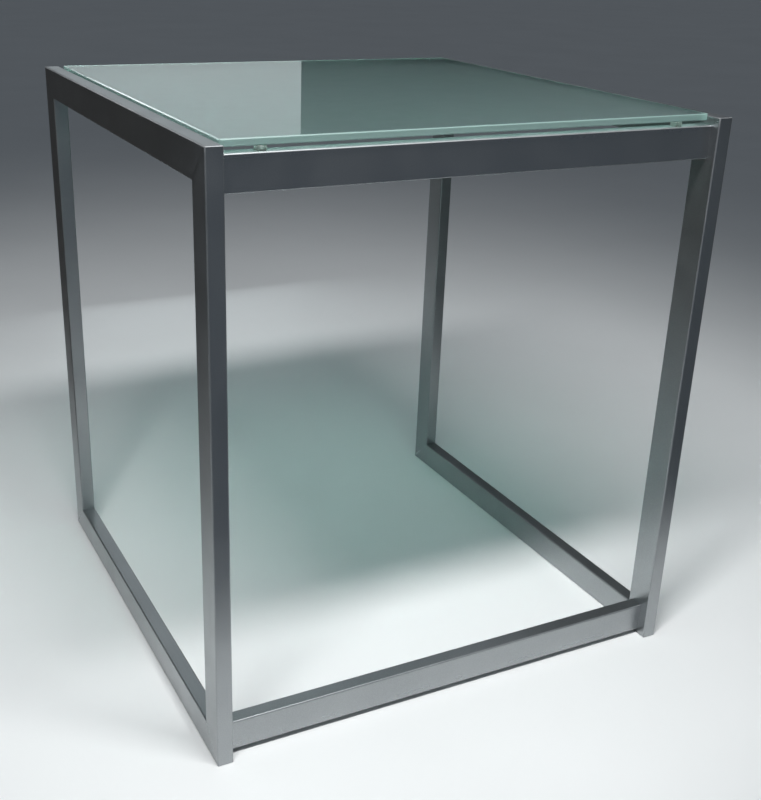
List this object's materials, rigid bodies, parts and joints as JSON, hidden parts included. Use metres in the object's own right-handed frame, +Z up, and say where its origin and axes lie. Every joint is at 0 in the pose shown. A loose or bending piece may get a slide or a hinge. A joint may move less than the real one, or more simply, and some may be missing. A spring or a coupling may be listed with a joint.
{
  "type": "display pedestal",
  "caption": "Open cube display pedestal: mitred flat-tube side frames, cross rails at the top and front bottom, and a loose frosted glass top on clear pads.",
  "frame": {"origin": "on the floor, at the centre of the pedestal's footprint", "axes": "+Z up, +Y from the front to the back, +X to the right as seen from the front; the side with the bottom cross rail is the front"},
  "size_m": [0.5, 0.5, 0.552],
  "materials": {
    "frame": "satin silver-grey metallic coating",
    "glass": "glossy top, frosted underside, green edge",
    "pad": "clear"
  },
  "bodies": {
    "frame": {"left_front_leg": "frame", "left_rear_leg": "frame", "left_top_rail": "frame", "left_bottom_rail": "frame", "right_front_leg": "frame", "right_rear_leg": "frame", "right_top_rail": "frame", "right_bottom_rail": "frame", "front_top_rail": "frame", "rear_top_rail": "frame", "front_bottom_rail": "frame", "front_left_pad": "pad", "front_right_pad": "pad", "rear_left_pad": "pad", "rear_right_pad": "pad"},
    "glass": {"glass_top": "glass"}
  },
  "joints": [
    {"name": "glass_lift", "type": "slide", "parent": "frame", "child": "glass", "axis": [0, 0, 1], "range_m": [0, 0.06]}
  ]
}
